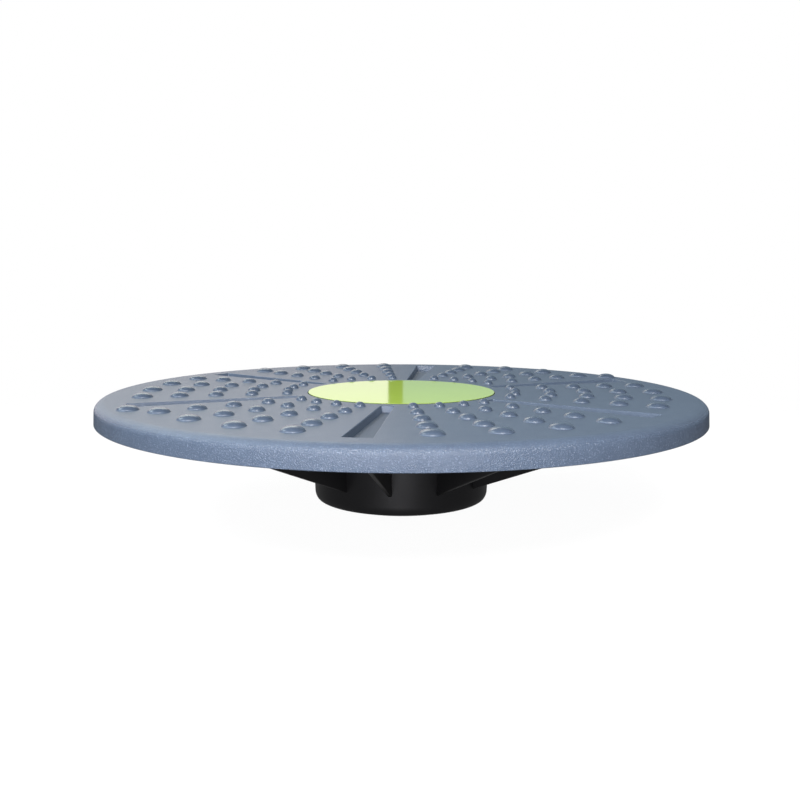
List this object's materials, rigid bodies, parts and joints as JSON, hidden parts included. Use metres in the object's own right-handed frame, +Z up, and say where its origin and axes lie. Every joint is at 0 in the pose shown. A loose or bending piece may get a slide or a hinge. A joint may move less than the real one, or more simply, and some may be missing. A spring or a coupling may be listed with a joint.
{
  "type": "balance board",
  "caption": "Round balance board: a bumped deck with radial slots and a centre disc, on a gusseted foot with a domed underside that rocks under the user.",
  "frame": {"origin": "centre of the sole pad's flat underside, the lowest point at rest", "axes": "+Z up through the middle of the deck, -Y towards the front, +X to the right"},
  "size_m": [0.4008, 0.4008, 0.084],
  "materials": {
    "deck_plastic": "fine grain",
    "disc_plastic": "gloss",
    "base_plastic": "satin",
    "sole_rubber": "matte",
    "screw_steel": "zinc plated"
  },
  "bodies": {
    "root": {"deck": "deck_plastic", "centre_disc": "disc_plastic", "base": "base_plastic", "sole_pad": "sole_rubber", "deck_screw_1": "screw_steel", "deck_screw_2": "screw_steel", "deck_screw_3": "screw_steel", "deck_screw_4": "screw_steel", "deck_screw_5": "screw_steel", "deck_screw_6": "screw_steel", "deck_screw_7": "screw_steel", "deck_screw_8": "screw_steel", "deck_screw_9": "screw_steel", "deck_screw_10": "screw_steel", "deck_screw_11": "screw_steel", "deck_screw_12": "screw_steel", "hub_screw_1": "screw_steel", "hub_screw_2": "screw_steel", "hub_screw_3": "screw_steel", "hub_screw_4": "screw_steel", "hub_screw_5": "screw_steel", "hub_screw_6": "screw_steel"}
  },
  "joints": []
}
